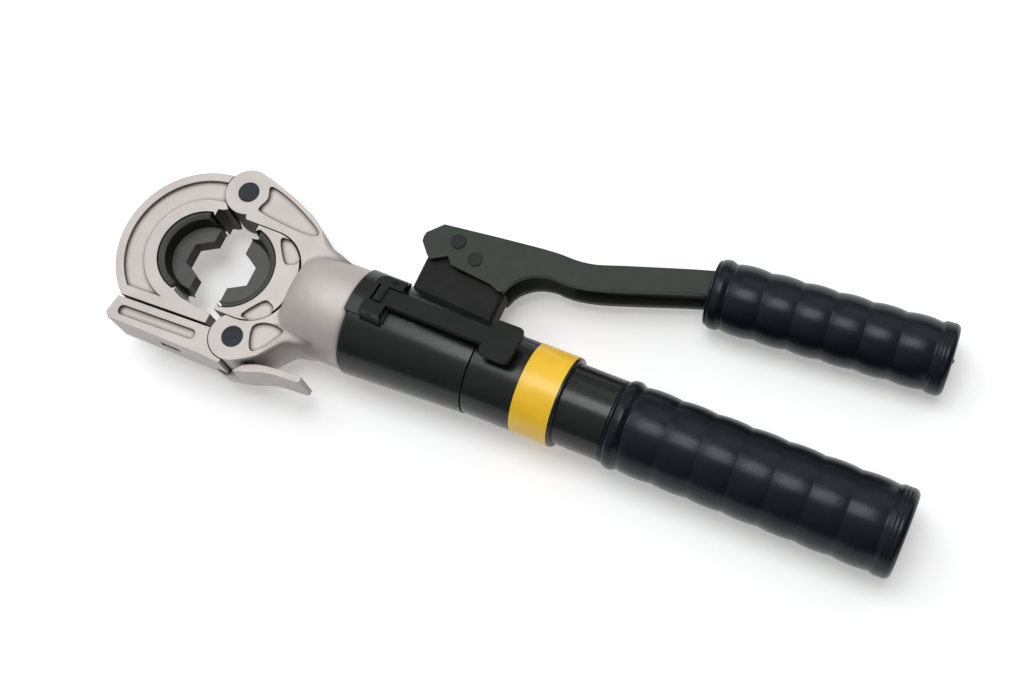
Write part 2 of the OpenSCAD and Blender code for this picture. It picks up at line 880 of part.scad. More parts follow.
module latch_spring() {
    wire_r = 0.05 * ear_r;
    color(burnished)
        translate([latch_pivot[0], latch_pivot[1], lap_z - move_gap + seat_gap])
            coil(spring_pocket_r - 2 * wire_r, wire_r, 3, spring_pocket_h + move_gap - 2 * seat_gap);
}

// housing's outer half section, drawn as [radius, station]
module housing_half(grow) {
    polygon([
        [0, collar_front],
        [collar_r - 2 * move_gap + grow, collar_front],
        [collar_r + grow, collar_front + 2 * move_gap],
        [collar_rear_r + grow, collar_rear],
        [0, collar_rear]
    ]);
}

bladder_in_r = 0.5 * tube_r;
bladder_spigot = 0.46 * tube_r;
suction_mouth = collar_rear + rear_spigot_len + bladder_spigot;
check_len = 0.22 * collar_len;
check_plug_len = 0.07 * collar_len;
swivel_seal_x = plug_front + 0.12 * spigot_len;
swivel_seal_w = 0.13 * spigot_len;
plug_r = bore_r - 2 * run_gap;
swivel_seal_in = 0.84 * bore_r;
gland_r = 1.5 * plunger_r;
gland_y = 0.55 * collar_rear_r;
gland_w = 0.14 * collar_rear_r;
release_bore_r = 1.7 * release_pin_r;
release_bore_floor = 0.7 * collar_rear_r;
release_pin_end = 0.3 * collar_rear_r;

// a check valve's stepped bore from its mouth towards the plunger, along +X or -X
module check_bore(mouth, way) {
    translate([mouth, channel_y, 0])
        rotate([0, way * 90, 0]) {
            translate([0, 0, -overrun])
                cylinder(r = ball_bore_r, h = check_len + overrun);
            cylinder(r = channel_r, h = abs(plunger_at[0] - mouth));
        }
}

module pump_housing() {
    color(black)
        difference() {
            union() {
                difference() {
                    x_turned()
                        housing_half(0);
                    x_rod(spigot_r + run_gap, collar_front - overrun, spigot_end + 2 * face_gap);
                    x_ring(spigot_r + ring_over, spigot_r, ring_x, ring_x + ring_w);
                }
                x_rod(plug_r, plug_front, spigot_end + overrun);
                x_rod(tube_in_r - seat_gap, collar_rear - overrun, collar_rear + rear_spigot_len);
                x_rod(bladder_in_r, collar_rear, suction_mouth);
            }
            x_ring(plug_r + overrun, swivel_seal_in, swivel_seal_x, swivel_seal_x + swivel_seal_w);
            y_rod(plunger_r + run_gap, plunger_at[0], chamber_end, 2 * collar_r);
            y_rod(gland_r, plunger_at[0], gland_y, gland_y + gland_w);
            check_bore(plug_front, 1);
            check_bore(suction_mouth, -1);
            leaned()
                translate([release_pin_x, 0, release_pin_end])
                    cylinder(r = release_pin_r + run_gap, h = collar_r);
            leaned()
                translate([release_pin_x, 0, release_bore_floor])
                    cylinder(r = release_bore_r, h = collar_r);
            leaned()
                translate([saddle_screw_at[0], saddle_screw_at[1], saddle_screw_end - seat_gap])
                    cylinder(r = saddle_screw_r + seat_gap, h = collar_r);
        }
}

module swivel_ring() {
    color(burnished)
        difference() {
            x_ring(spigot_r + ring_over - seat_gap, spigot_r - ring_over + 2 * face_gap,
                ring_x + seat_gap, ring_x + ring_w - seat_gap);
            translate([ring_x - overrun, -spigot_r - 2 * ring_over, -ring_over])
                cube([ring_w + 2 * overrun, spigot_r, 2 * ring_over]);
        }
}

module swivel_seal() {
    color(black)
        x_ring(plug_r, swivel_seal_in + seat_gap, swivel_seal_x + seat_gap,
            swivel_seal_x + swivel_seal_w - seat_gap);
}

// frames of the two check valves, from the mouth of each bore inwards
module in_delivery_check() {
    translate([plug_front, channel_y, 0])
        rotate([0, 90, 0])
            children();
}

module in_suction_check() {
    translate([suction_mouth, channel_y, 0])
        rotate([0, -90, 0])
            children();
}

module in_both_checks() {
    in_delivery_check()
        children();
    in_suction_check()
        children();
}

module check_balls() {
    color(bright)
        in_both_checks()
            translate([0, 0, check_len - ball_r - seat_gap])
                sphere(r = ball_r);
}

// the spring reaches from its seat plug to the ball's shoulder
module check_spring() {
    translate([0, 0, check_plug_len + seat_gap])
        coil(0.6 * ball_r, 0.12 * ball_r, 4, check_len - 2 * ball_r - check_plug_len + 0.1 * ball_r);
}

module delivery_spring() {
    color(bright)
        in_delivery_check()
            check_spring();
}

module suction_spring() {
    color(bright)
        in_suction_check()
            check_spring();
}

module check_seats() {
    color(brass)
        in_both_checks()
            difference() {
                translate([0, 0, run_gap])
                    cylinder(r = ball_bore_r - seat_gap, h = check_plug_len - run_gap);
                translate([0, 0, -overrun])
                    cylinder(r = channel_r, h = check_plug_len + 2 * overrun);
            }
}

spring_seat_r = 1.45 * plunger_r;
spring_seat_y = block_top - 1.9 * plunger_r;

// the block stands between the lever's cheeks and carries the fulcrum pin
module block_side() {
    polygon([
        [block_front, 0],
        [block_front, fulcrum[1] - plunger_arm],
        [fulcrum[0] - tongue_r + move_gap, fulcrum[1]],
        [fulcrum[0] + tongue_r - move_gap, fulcrum[1]],
        [fulcrum[0] + tongue_r - move_gap, block_top],
        [block_front + block_len, block_top - block_fall],
        [block_front + block_len, 0]
    ]);
}

module pump_block() {
    color(black)
        difference() {
            union() {
                intersection() {
                    slab(-tongue_half, tongue_half)
                        block_side();
                    translate([block_front + block_len / 2, 0, 0])
                        rotate([-90, 0, 0])
                            linear_extrude(2 * block_top)
                                round_rect(block_len, 2 * tongue_half, block_round);
                }
                post(fulcrum, tongue_r, -tongue_half, tongue_half);
            }
            x_turned()
                housing_half(seat_gap);
            post(fulcrum, fulcrum_r + run_gap, -head_t, head_t);
            y_rod(plunger_r + run_gap, plunger_at[0], 0, 2 * block_top);
            y_rod(spring_seat_r, plunger_at[0], spring_seat_y, 2 * block_top);
        }
}

module plunger_seal() {
    color(black)
        difference() {
            y_rod(gland_r - seat_gap, plunger_at[0], gland_y + seat_gap, gland_y + gland_w - seat_gap);
            y_rod(plunger_r + run_gap, plunger_at[0], 0, 2 * collar_r);
        }
}

eye_slot_half = 1.32 * plunger_pin_r;
eye_slot_len = 2 * plunger_pin_r + 0.28 * plunger_arm;
eye_half_t = cheek_in - 4 * move_gap;

module pump_plunger() {
    color(bright)
        difference() {
            union() {
                y_rod(plunger_r, plunger_at[0], plunger_end, plunger_at[1]);
                translate([plunger_at[0] - eye_half_w, plunger_at[1] - head_len, -eye_half_t])
                    cube([2 * eye_half_w, 2 * head_len, 2 * eye_half_t]);
            }
            slab(-head_t, head_t)
                translate(plunger_at)
                    round_rect(eye_slot_len, 2 * eye_slot_half, 0.9 * eye_slot_half);
        }
}

module plunger_spring() {
    wire_r = 0.12 * plunger_r;
    color(burnished)
        translate([plunger_at[0], spring_seat_y + seat_gap, 0])
            rotate([-90, 0, 0])
                coil(1.23 * plunger_r, wire_r, 5, plunger_at[1] - head_len - spring_seat_y - 2 * seat_gap);
}

// cheek outlines in shares of the lever's length about the fulcrum pin
cheek_top_shares = [[-0.0748, 0.0436], [0.139, 0.068], [0.3, 0.084], [0.365, 0.087], [0.421, 0.086],
    [0.487, 0.095], [0.579, 0.126], [0.713, 0.17], [0.812, 0.202], [0.92, 0.234]];
cheek_low_shares = [[0.92, 0.144], [0.812, 0.11], [0.682, 0.064], [0.55, 0.019], [0.467, -0.002],
    [0.407, -0.007], [0.36, -0.005], [0.298, -0.022], [0.247, -0.065], [0.225, -0.116]];
cheek_nose_shares = [[0.212, -0.121], [0.172, -0.106], [0.08, -0.096], [0.013, -0.09], [-0.012, -0.063],
    [-0.065, -0.095], [-0.087, -0.082], [-0.1225, -0.043], [-0.1255, -0.025], [-0.1231, -0.0074]];

module cheek_outline() {
    polygon(concat(
        smooth(about(cheek_top_shares, lever_len, fulcrum), 3),
        smooth(about(cheek_low_shares, lever_len, fulcrum), 3),
        about(cheek_nose_shares, lever_len, fulcrum)
    ));
}

module cheek(from, to) {
    difference() {
        slab(from, to)
            cheek_outline();
        post(fulcrum, fulcrum_r + seat_gap, -head_t, head_t);
        post(plunger_at, plunger_pin_r + seat_gap, -head_t, head_t);
    }
}

module lever_cheek_front() {
    color(olive)
        cheek(cheek_in, cheek_out);
}

module lever_cheek_rear() {
    color(olive)
        cheek(-cheek_out, -cheek_in);
}

pin_over = 0.2 * cheek_t;

// pin through both cheeks, with a flat head on the outside of each
module headed_pin(at, r, head_r) {
    post(at, r, -cheek_out - pin_over, cheek_out + pin_over);
    post(at, head_r, cheek_out + seat_gap, cheek_out + pin_over);
    post(at, head_r, -cheek_out - pin_over, -cheek_out - seat_gap);
}

module fulcrum_pin() {
    color(burnished)
        headed_pin(fulcrum, fulcrum_r, 1.2 * fulcrum_r);
}

module plunger_pin() {
    color(burnished)
        headed_pin(plunger_at, plunger_pin_r, 1.36 * plunger_pin_r);
}

// place of the lever grip's mouth in shares of the lever's length about the fulcrum pin
grip_mouth_share = [0.8657, 0.1716];
grip_mouth = fulcrum + lever_len * grip_mouth_share;

// lever grip's own frame: its mouth at the origin, its length along +X
module at_lever_grip() {
    translate([grip_mouth[0], grip_mouth[1], 0])
        rotate([0, 0, lever_grip_tilt])
            children();
}

core_shares = [[0.43, 0.055], [0.487, 0.065], [0.579, 0.092], [0.713, 0.136], [0.812, 0.166], [0.92, 0.2],
    [0.98, 0.2], [0.98, 0.165], [0.92, 0.17], [0.812, 0.136], [0.713, 0.103], [0.579, 0.058], [0.487, 0.032],
    [0.43, 0.025]];
mouth_len = 0.066 * lever_len;
mouth_half = 0.067 * lever_len;
core_end = 0.9 * lever_grip_len;

module lever_core() {
    color(olive) {
        slab(seat_gap - cheek_in, cheek_in - seat_gap)
            polygon(about(core_shares, lever_len, fulcrum));
        at_lever_grip()
            x_rod(core_r, mouth_len + seat_gap, core_end);
    }
}

// grip's half section along +X from its mouth: a bead, swells and the flange of its closed end
module grip_half(r, length, swells) {
    pitch = (length - bead_len - flange_len) / swells;
    arc_r = (pitch * pitch / 4 + swell_h * swell_h) / (2 * swell_h);
    flange_half(r + flange_h, 0, bead_len, 0.4 * bead_len);
    flange_half(r + flange_h, length - flange_len, length, 0.3 * flange_len);
    for (i = [0 : swells - 1])
        intersection() {
            translate([r + swell_h - arc_r, bead_len + (i + 0.5) * pitch])
                circle(r = arc_r, $fn = 128);
            translate([0, bead_len + i * pitch - seat_gap])
                square([r + flange_h, pitch + 2 * seat_gap]);
        }
}

module lever_grip() {
    color(rubber)
        at_lever_grip()
            difference() {
                x_turned()
                    grip_half(lever_grip_r, lever_grip_len, lever_swells);
                x_rod(core_r + seat_gap, 0, core_end + seat_gap);
                translate([-overrun, -mouth_half, -cheek_out - seat_gap])
                    cube([mouth_len + overrun, 2 * mouth_half, 2 * cheek_out + 2 * seat_gap]);
            }
}

saddle_front = collar_front - saddle_lip;
saddle_end = collar_front + 1.5 * pivot_behind;
lug_top = pivot_up + 0.75 * release_t;
lug_bottom = 0.75 * collar_r;
lug_gap = release_w / 2 + move_gap;
lug_front = pivot_x - lug_len / 2;
plate_round = 0.75 * plate_w;
saddle_screw_at = [lug_front + 0.66 * plate_len, lug_gap + plate_w / 2];
saddle_screw_end = 0.865 * collar_at(saddle_screw_at[0]);
saddle_head_r = 1.65 * saddle_screw_r;
saddle_head_from = lug_top - 1.2 * saddle_screw_r;

// shell over the housing's front rim, between two angles about the axis
module saddle_shell() {
    intersection() {
        x_rod(collar_r + saddle_over, saddle_front, saddle_end);
        rotate([90, 0, 90])
            linear_extrude(saddle_end)
                polygon([
                    [0, 0],
                    2 * collar_r * [-sin(saddle_from_lever), cos(saddle_from_lever)],
                    2 * collar_r * [sin(saddle_to_lever), cos(saddle_to_lever)]
                ]);
    }
}

// lug, front bridge and long plate round the release lever's hub, seen from above
module saddle_plan() {
    translate([lug_front, -lug_gap - lug_w])
        square([lug_len, 2 * lug_gap + lug_w + plate_w - plate_round]);
    translate([lug_front + plate_round, lug_gap])
        square([plate_len - plate_round, plate_w]);
    translate([lug_front + plate_round, lug_gap + plate_w - plate_round])
        circle(r = plate_round);
}

module release_saddle() {
    color(black)
        leaned()
            difference() {
                union() {
                    saddle_shell();
                    slab(lug_bottom, lug_top)
                        saddle_plan();
                }
                x_turned()
                    housing_half(seat_gap);
                x_rod(neck_r + move_gap, saddle_front - overrun, collar_front + face_gap);
                translate([pivot_x - release_hub_r - move_gap, -lug_gap, 0])
                    cube([saddle_end, 2 * lug_gap, 2 * collar_r]);
                translate([pivot_x, 0, pivot_up])
                    rotate([90, 0, 0])
                        cylinder(r = pivot_r + seat_gap, h = 2 * collar_r, center = true);
                translate([saddle_screw_at[0], saddle_screw_at[1], 0])
                    cylinder(r = saddle_screw_r + seat_gap, h = 2 * collar_r);
                translate([saddle_screw_at[0], saddle_screw_at[1], saddle_head_from - seat_gap])
                    cylinder(r = saddle_head_r + seat_gap, h = collar_r);
            }
}

// socket-headed screw that holds the saddle's plate down on the housing
module saddle_screw() {
    color(burnished)
        leaned()
            translate([saddle_screw_at[0], saddle_screw_at[1], 0])
                difference() {
                    union() {
                        translate([0, 0, saddle_screw_end])
                            cylinder(r = saddle_screw_r, h = saddle_head_from - saddle_screw_end + seat_gap);
                        translate([0, 0, saddle_head_from])
                            cylinder(r = saddle_head_r, h = 1.1 * saddle_screw_r);
                    }
                    translate([0, 0, saddle_head_from + 0.5 * saddle_screw_r])
                        cylinder(r = 0.6 * saddle_head_r, h = saddle_head_r, $fn = 6);
                }
}

module pivot_pin() {
    color(burnished)
        leaned()
            translate([pivot_x, lug_gap + plate_w, pivot_up])
                rotate([90, 0, 0])
                    cylinder(r = pivot_r, h = 2 * lug_gap + lug_w + plate_w);
}

pad_from = pivot_x + pad_behind;

module release_lever() {
    color(olive)
        leaned()
            difference() {
                union() {
                    translate([pivot_x, 0, pivot_up])
                        rotate([90, 0, 0])
                            cylinder(r = release_hub_r, h = release_w, center = true);
                    translate([pivot_x, -release_w / 2, release_under])
                        cube([pad_behind + overrun, release_w, release_t]);
                    translate([pad_from + pad_len / 2, 0, release_under])
                        linear_extrude(release_t)
                            round_rect(pad_len, pad_w, 0.15 * pad_w);
                }
                translate([pivot_x, 0, pivot_up])
                    rotate([90, 0, 0])
                        cylinder(r = pivot_r + run_gap, h = 2 * release_w, center = true);
            }
}

module release_pin() {
    color(bright)
        leaned()
            translate([release_pin_x, 0, release_pin_end + 4 * move_gap])
                cylinder(r = release_pin_r, h = release_under - release_pin_end - 6 * move_gap);
}

module release_spring() {
    wire_r = 0.2 * release_pin_r;
    color(burnished)
        leaned()
            translate([release_pin_x, 0, release_bore_floor + seat_gap])
                coil(1.35 * release_pin_r, wire_r, 5, release_under - release_bore_floor - 2 * seat_gap);
}

module reservoir_tube() {
    color(black)
        difference() {
            union() {
                x_turned()
                    flange_half(tube_r, collar_rear + seat_gap, tube_step, 2 * move_gap);
                x_rod(stem_r, tube_step - 3 * move_gap, grip_front - seat_gap);
                x_rod(sleeve_r, tube_step, stem_end);
            }
            x_rod(tube_in_r, collar_rear - overrun, tube_bore_end);
            x_rod(sleeve_in_r, collar_rear, stem_end + overrun);
        }
}

band_front = collar_rear + band_start;

module yellow_band() {
    color(yellow)
        x_ring(tube_r + band_t, tube_r + seat_gap, band_front, band_front + band_w);
}

bladder_wall = 0.08 * tube_r;
bladder_r = 0.95 * sleeve_in_r;
bladder_mouth = collar_rear + rear_spigot_len + move_gap;
bladder_end = stem_end - 1.3 * stem_r;
bladder_shoulder = bladder_mouth + 1.4 * bladder_spigot;

module bladder_half(grow) {
    polygon([
        [0, bladder_mouth],
        [bladder_in_r + bladder_wall - grow, bladder_mouth],
        [bladder_in_r + bladder_wall - grow, bladder_shoulder],
        [bladder_r - grow, bladder_shoulder + bladder_spigot],
        [bladder_r - grow, bladder_end - grow],
        [0, bladder_end - grow]
    ]);
}

module oil_bladder() {
    color(rubber)
        difference() {
            x_turned()
                bladder_half(0);
            x_turned()
                bladder_half(bladder_wall);
            x_rod(bladder_in_r + seat_gap, bladder_mouth - overrun, bladder_shoulder);
        }
}

module bladder_clamp() {
    clamp_w = 0.5 * bladder_spigot;
    color(bright)
        x_ring(bladder_in_r + 2 * bladder_wall, bladder_in_r + bladder_wall + seat_gap,
            bladder_mouth + bladder_wall, bladder_mouth + bladder_wall + clamp_w);
}

module tube_plug() {
    color(burnished)
        x_rod(sleeve_in_r - seat_gap, stem_end - stem_r / 2, stem_end - seat_gap);
}

module main_grip() {
    color(rubber)
        difference() {
            translate([grip_front, 0, 0])
                x_turned()
                    grip_half(grip_r, grip_len, grip_swells);
            x_rod(sleeve_r + seat_gap, grip_front - overrun, stem_end + seat_gap);
        }
}

head_body();
hinge_pin();
latch_pin();
rod_seal();
swing_jaw();
jaw_die();
jaw_die_stud();
latch();
latch_spring();
die_holder();
ram_die();
ram_die_stud();
holder_screw();
ram_piston();
piston_seal();
ram_spring();
pump_housing();
swivel_ring();
swivel_seal();
check_balls();
delivery_spring();
suction_spring();
check_seats();
pump_block();
plunger_seal();
pump_plunger();
plunger_spring();
lever_cheek_front();
lever_cheek_rear();
fulcrum_pin();
plunger_pin();
lever_core();
lever_grip();
release_saddle();
saddle_screw();
pivot_pin();
release_lever();
release_pin();
release_spring();
reservoir_tube();
yellow_band();
oil_bladder();
bladder_clamp();
tube_plug();
main_grip();
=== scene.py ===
"""Looks of the hydraulic hand crimping tool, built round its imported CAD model. Metres, in the CAD frame."""
import json
import math

import bmesh
import bpy
from mathutils import Matrix, Vector


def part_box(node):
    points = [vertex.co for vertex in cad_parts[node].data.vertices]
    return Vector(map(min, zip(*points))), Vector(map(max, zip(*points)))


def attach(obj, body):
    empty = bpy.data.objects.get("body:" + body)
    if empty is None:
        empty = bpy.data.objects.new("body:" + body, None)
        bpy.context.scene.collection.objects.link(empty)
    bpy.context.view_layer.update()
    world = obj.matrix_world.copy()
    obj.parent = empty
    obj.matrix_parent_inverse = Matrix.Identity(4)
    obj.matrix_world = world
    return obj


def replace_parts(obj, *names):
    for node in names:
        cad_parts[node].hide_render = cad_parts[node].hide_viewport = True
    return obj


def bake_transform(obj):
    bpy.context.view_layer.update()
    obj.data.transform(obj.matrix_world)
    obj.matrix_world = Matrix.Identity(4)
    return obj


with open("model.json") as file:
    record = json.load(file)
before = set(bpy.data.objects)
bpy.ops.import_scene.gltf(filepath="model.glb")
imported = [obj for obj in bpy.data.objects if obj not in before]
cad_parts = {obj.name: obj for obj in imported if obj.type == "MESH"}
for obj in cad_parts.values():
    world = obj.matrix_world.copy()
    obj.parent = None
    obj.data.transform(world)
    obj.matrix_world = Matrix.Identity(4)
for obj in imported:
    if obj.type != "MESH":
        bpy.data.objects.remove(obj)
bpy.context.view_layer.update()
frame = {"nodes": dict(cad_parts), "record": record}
NODES = frame["nodes"]
MM = 0.001

# Camera: axes and place in the CAD frame
CAMERA_UP = Vector((-0.34663013, 0.87139194, 0.34716515))
CAMERA_BACK = Vector((0.26100781, -0.26589047, 0.92799633))
CAMERA_PLACE = Vector((0.3341, -0.1630, 0.6302))
CAMERA_LENS = 51.39
CAMERA_SENSOR = 36.0

# Light: the world grows from dark to light towards SKY; the floor's own glow makes it white
SKY = Vector((-0.6, 0.1, 0.79))
SKY_START = -0.1
SKY_DARK, SKY_LIGHT = 0.05, 0.75
FLOOR_HALF = 6.0
FLOOR_COLOUR = (0.82, 0.83, 0.85, 1.0)
FLOOR_GLOW = (0.3, 0.295, 0.285, 1.0)
WHITE = (1.0, 1.0, 1.0, 1.0)

# Lamps: place, width and height in metres, power in watts
LAMP_AIM = Vector((0.17, 0.03, 0.0))
LAMPS = {
    "key": ((0.15, 0.09, 1.2), 0.55, 0.55, 6.0),
    "side": ((-0.55, 0.3, 1.05), 0.8, 0.8, 3.5),
    "fill": ((0.5, 0.9, 0.8), 1.2, 0.8, 2.0),
}

# Painted shade: walls beside the hinge are painted dark within these stretches of x and y, in mm: fade from,
# to, back from, to
PAINTED_SHADE_X = (-8, -5, 50, 52)
PAINTED_SHADE_Y = (8, 12, 31, 33)

# Shaded rounding of edges, which widens to the neck's between two stations
EDGE = 0.5 * MM
NECK_EDGE = 6.0 * MM
NECK_EDGE_FROM, NECK_EDGE_TO = 51 * MM, 55 * MM

# Dies: the ram die's axis behind the jaw die's at rest, the radii their painted shade runs between, and their
# web
RAM_OPENING = 17.4 * MM
DIE_SHADES_FROM, DIE_SHADES_TO = 10 * MM, 22 * MM
DIE_WEB_FROM, DIE_WEB_TO = 9.5 * MM, 9.7 * MM

# The neck: front and back, radius, how much narrower and lower it is at its front, and how that fades
NECK_FRONT, NECK_BACK = 51.75 * MM, 76 * MM
NECK_R = 24.45 * MM
NECK_NARROWING, NECK_DROP = 2 * MM, 8.4 * MM
NECK_POWER = 2.4

# Its inside, which stays within the CAD head's walls: a narrow mouth, then a wider bore
MOUTH_R, MOUTH_END = 14 * MM, 56.5 * MM
BORE_R, BORE_START = 17.2 * MM, 58.2 * MM

# The joined head: turns above this stay sharp, and points closer than this are merged
HEAD_CREASE = math.radians(30)
WELD = 0.002 * MM

# Grips: radius in the valleys, number and height of the swells, lengths of front and end, rise of the
# front's ring, and radius of the nub on the end
MAIN_GRIP = {"radius": 19.85 * MM, "count": 7, "swell": 0.65 * MM,
             "front": 9.0 * MM, "end": 9.5 * MM, "collar": 1.2 * MM}
LEVER_GRIP = {"radius": 15.75 * MM, "count": 6, "swell": 0.85 * MM,
              "front": 8.5 * MM, "end": 8.5 * MM, "collar": 0.9 * MM, "nub": 1.6 * MM}
LEVER_GRIP_LENGTH = 110.4 * MM
LEVER_GRIP_PLACE = Vector((233.3 * MM, 74.36 * MM, 0))
LEVER_GRIP_TURN = math.radians(4)

# Small forms of both grips: hollow of the ends, step beside a ring, lip at the mouth, lines round the end
GRIP_DISH = 0.4 * MM
GRIP_STEP = 0.2 * MM
LIP_DEPTH, LIP_HEIGHT = 1.4 * MM, 1.0 * MM
END_RING_DEPTH, END_RING_WIDTH = 0.12 * MM, 0.4 * MM

# Springs: fixed and moving body, the node they stand round if it isn't on the tool's axis,
# their axis, then mean radius, wire radius in mm and curls
SPRINGS = {
    "ram_spring": ("head", "ram", None, (1, 0, 0), 12.5, 1.12, 4.5),
    "plunger_spring": ("pump_body", "plunger", "pump_plunger", (0, 1, 0), 4.92, 0.48, 5),
    "release_spring": ("pump_body", "release_valve", "release_pin", (0, 0.284015, 0.95882), 3.24, 0.48, 5),
}

# The tool lies on its collar and the ends of its two grips
REST_POINTS = (
    Vector((0.0880, 0.0, -0.0255)),
    Vector((0.3470, 0.0, -0.0205)),
    Vector((0.3385, 0.0817, -0.0166)),
)


# Materials

class Paint:
    """A node material with one Principled shader, and short ways to add detail to it."""

    def __init__(self, name):
        self.material = bpy.data.materials.new(name)
        self.material.use_nodes = True
        self.nodes = self.material.node_tree.nodes
        self.links = self.material.node_tree.links
        self.shader = self.nodes["Principled BSDF"]
        coordinates = self.nodes.new("ShaderNodeTexCoord")
        self.place = coordinates.outputs["Object"]
        self.outward = coordinates.outputs["Normal"]
        self.normal = None

    def set(self, **values):
        for key, value in values.items():
            self.shader.inputs[key.replace("_", " ")].default_value = value
        return self

    def noise(self, scale, detail):
        node = self.nodes.new("ShaderNodeTexNoise")
        node.inputs["Scale"].default_value = scale
        node.inputs["Detail"].default_value = detail
        node.inputs["Roughness"].default_value = 0.55
        self.links.new(self.place, node.inputs["Vector"])
        return node.outputs["Fac"]

    def cells(self, scale):
        node = self.nodes.new("ShaderNodeTexVoronoi")
        node.inputs["Scale"].default_value = scale
        self.links.new(self.place, node.inputs["Vector"])
        return node.outputs["Distance"]

    def ramp(self, factor, stops):
        node = self.nodes.new("ShaderNodeValToRGB")
        elements = node.color_ramp.elements
        while len(elements) < len(stops):
            elements.new(0.5)
        for element, (at, colour) in zip(elements, stops):
            element.position = at
            element.color = (*colour, 1.0)
        self.links.new(factor, node.inputs["Fac"])
        return node.outputs["Color"]

    def mixed(self, factor, first, second):
        node = self.nodes.new("ShaderNodeMix")
        node.data_type = "RGBA"
        self.links.new(factor, node.inputs["Factor"])
        for socket, value in ((node.inputs[6], first), (node.inputs[7], second)):
            if isinstance(value, tuple):
                socket.default_value = (*value, 1.0)
            else:
                self.links.new(value, socket)
        return node.outputs[2]

    def axis(self, letter, vector=None):
        """One coordinate of a vector, or of the point in metres."""
        node = self.nodes.new("ShaderNodeSeparateXYZ")
        self.links.new(vector or self.place, node.inputs["Vector"])
        return node.outputs[letter]

    def size(self, letter, vector=None):
        """One coordinate without its sign."""
        node = self.nodes.new("ShaderNodeMath")
        node.operation = "ABSOLUTE"
        self.links.new(self.axis(letter, vector), node.inputs[0])
        return node.outputs[0]

    def most(self, first, *others):
        """The largest of several factors."""
        for other in others:
            node = self.nodes.new("ShaderNodeMath")
            node.operation = "MAXIMUM"
            self.links.new(first, node.inputs[0])
            self.links.new(other, node.inputs[1])
            first = node.outputs[0]
        return first

    def radius(self, centre):
        """Distance from an upright line through (centre, 0)."""
        flat = self.nodes.new("ShaderNodeMapping")
        flat.inputs["Location"].default_value = (-centre, 0.0, 0.0)
        flat.inputs["Scale"].default_value = (1.0, 1.0, 0.0)
        self.links.new(self.place, flat.inputs["Vector"])
        node = self.nodes.new("ShaderNodeVectorMath")
        node.operation = "LENGTH"
        self.links.new(flat.outputs["Vector"], node.inputs[0])
        return node.outputs["Value"]

    def between(self, factor, low, high, start=0.0, end=1.0):
        node = self.nodes.new("ShaderNodeMapRange")
        node.inputs["From Min"].default_value = start
        node.inputs["From Max"].default_value = end
        node.inputs["To Min"].default_value = low
        node.inputs["To Max"].default_value = high
        self.links.new(factor, node.inputs["Value"])
        return node.outputs["Result"]

    def outside(self, letter, stretch):
        """1 outside a stretch of a coordinate in mm, 0 within it."""
        at = self.axis(letter)
        start, full, last, end = [value * MM for value in stretch]
        return self.most(self.between(at, 1.0, 0.0, start, full), self.between(at, 0.0, 1.0, last, end))

    def hollow(self, distance):
        """1 on open faces, falling towards 0 in inside corners."""
        node = self.nodes.new("ShaderNodeAmbientOcclusion")
        node.inputs["Distance"].default_value = distance
        node.samples = 8
        return node.outputs["AO"]

    def colour(self, socket):
        self.links.new(socket, self.shader.inputs["Base Color"])
        return self

    def rough(self, factor, low, high):
        self.links.new(self.between(factor, low, high), self.shader.inputs["Roughness"])
        return self

    def rounded(self, radius):
        """Shades edges as if they were rounded; the radius is in metres, or a socket."""
        node = self.nodes.new("ShaderNodeBevel")
        node.samples = 8
        if isinstance(radius, float):
            node.inputs["Radius"].default_value = radius
        else:
            self.links.new(radius, node.inputs["Radius"])
        self.normal = node.outputs["Normal"]
        return self

    def bump(self, *layers):
        """Each layer is (height socket, depth in metres)."""
        normal = self.normal
        for height, depth in layers:
            node = self.nodes.new("ShaderNodeBump")
            node.inputs["Strength"].default_value = 1.0
            node.inputs["Distance"].default_value = depth
            self.links.new(height, node.inputs["Height"])
            if normal is not None:
                self.links.new(normal, node.inputs["Normal"])
            normal = node.outputs["Normal"]
        self.links.new(normal, self.shader.inputs["Normal"])
        return self


def satin_nickel(name, neck=False):
    """Blasted nickel plate with painted shade: near black on the walls beside the hinge, darker brown in
    inside corners; the neck is shaded softly into the arms.
    """
    paint = Paint(name).set(Metallic=0.62)
    cloud = paint.noise(60.0, 4.0)
    grain = paint.noise(2600.0, 2.0)
    plate = paint.ramp(cloud, ((0.35, (0.475, 0.44, 0.42)), (0.65, (0.525, 0.49, 0.47))))
    # Painted shade: faces that are not level, within the hinge stretches, are painted near black
    level = paint.between(paint.size("Z", paint.outward), 0.0, 1.0, 0.3, 0.7)
    unshaded_face = paint.most(level, paint.outside("X", PAINTED_SHADE_X), paint.outside("Y", PAINTED_SHADE_Y))
    # Painted shade: darker brown towards inside corners, from ambient occlusion
    corner = paint.between(paint.hollow(2.5 * MM), 0.0, 1.0, 0.5, 0.95)
    plate = paint.mixed(unshaded_face, (0.05, 0.052, 0.046), plate)
    paint.colour(paint.mixed(corner, (0.10, 0.08, 0.06), plate))
    if neck:
        paint.rounded(paint.between(paint.axis("X"), EDGE, NECK_EDGE, NECK_EDGE_FROM, NECK_EDGE_TO))
    else:
        paint.rounded(EDGE)
    return paint.rough(grain, 0.55, 0.65).bump((grain, 0.03 * MM), (cloud, 0.2 * MM)).material


def dark_metal(name, dark, light, rough, grain_scale, depth, metallic=0.0, gloss=0.5):
    """Metal or paint in two close shades, with a fine grain in its gloss."""
    paint = Paint(name).set(Metallic=metallic, Specular_IOR_Level=gloss).rounded(0.35 * MM)
    cloud = paint.noise(90.0, 5.0)
    grain = paint.noise(grain_scale, 2.0)
    paint.colour(paint.ramp(cloud, ((0.3, dark), (0.7, light))))
    return paint.rough(grain, *rough).bump((grain, depth), (cloud, 0.1 * MM)).material


